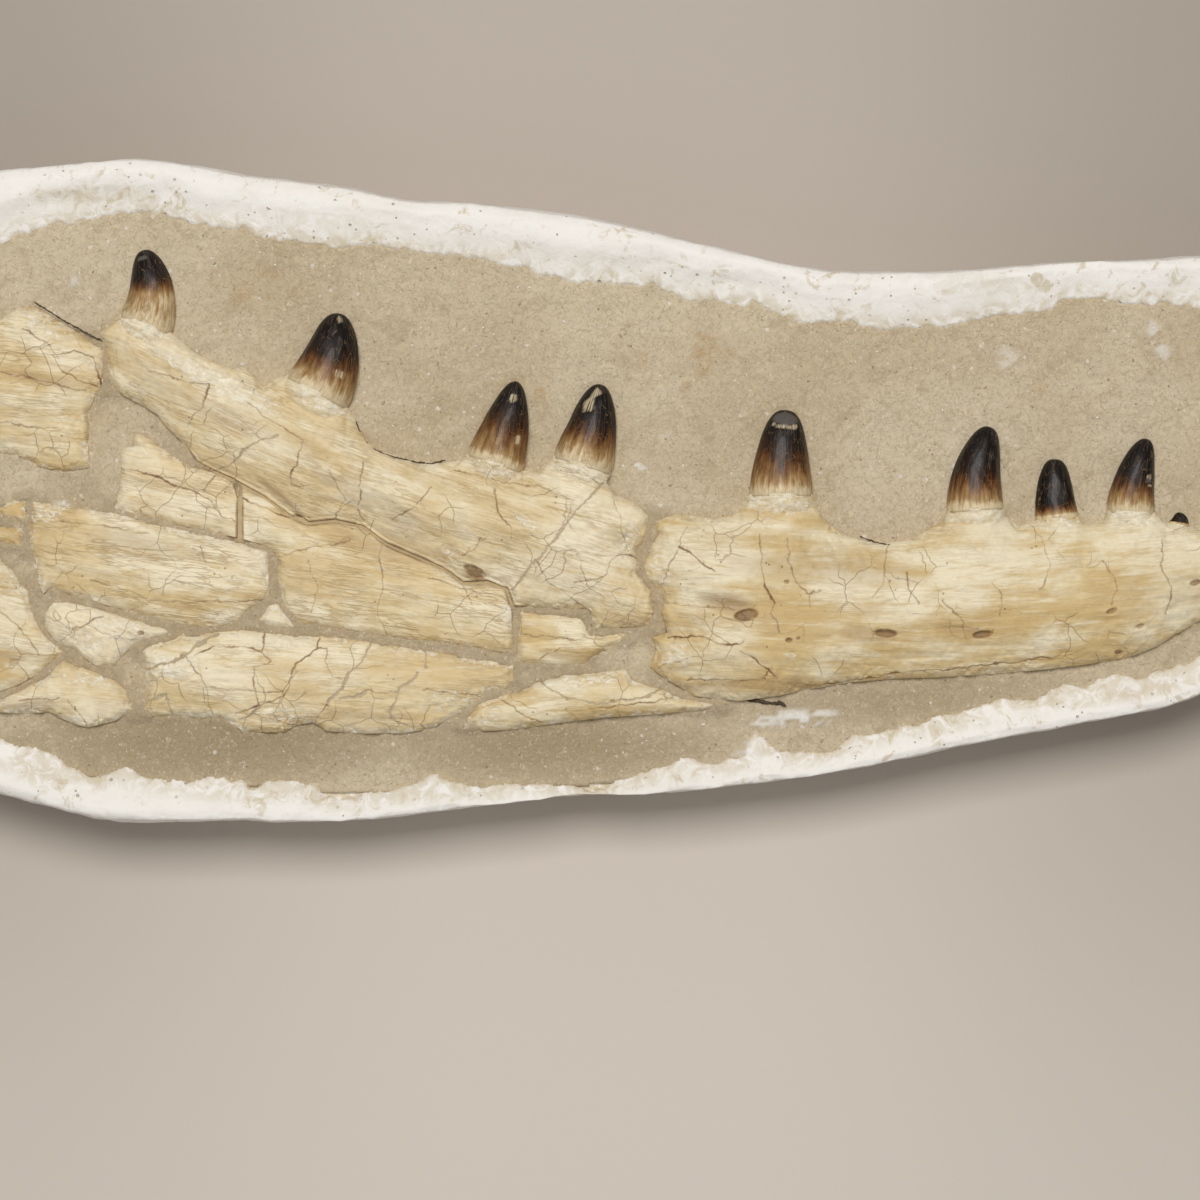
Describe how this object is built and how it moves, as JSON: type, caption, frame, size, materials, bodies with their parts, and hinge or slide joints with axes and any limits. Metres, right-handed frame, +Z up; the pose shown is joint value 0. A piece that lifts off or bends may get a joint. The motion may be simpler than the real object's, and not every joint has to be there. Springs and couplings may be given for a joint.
{
  "type": "fossil mosasaur jaw",
  "caption": "Lower jaw bones and tooth crowns of a mosasaur in relief on sandy matrix, in a white plaster field jacket with a rounded rim.",
  "frame": {"origin": "middle of the jacket's flat underside, at the centre of the object's box", "axes": "+X towards the tip of the jaw, +Y towards the points of the teeth, +Z up out of the slab"},
  "size_m": [0.6566, 0.2681, 0.0586],
  "materials": {
    "plaster": "rough white plaster, pitted, with sandy dirt along its inner edge",
    "matrix": "fine sandy sediment, matt, with pale and dark specks",
    "bone": "cream fossil bone with fine grain, cracks and tan stains",
    "enamel": "glossy enamel, near black at the point and brown at the base"
  },
  "bodies": {
    "root": {"plaster_jacket": "plaster", "matrix_slab": "matrix", "dentary_front": "bone", "dentary_hind": "bone", "coronoid": "bone", "surangular": "bone", "angular": "bone", "prearticular": "bone", "splenial_hind": "bone", "splenial_front": "bone", "splenial_sliver": "bone", "bone_chip": "bone", "hind_fragment_1": "bone", "hind_fragment_2": "bone", "hind_fragment_3": "bone", "hind_fragment_4": "bone", "hind_fragment_5": "bone", "tooth_01": "enamel", "tooth_02": "enamel", "tooth_03": "enamel", "tooth_04": "enamel", "tooth_05": "enamel", "tooth_06": "enamel", "tooth_07": "enamel", "tooth_08": "enamel", "tooth_09": "enamel", "tooth_10": "enamel"}
  },
  "joints": []
}
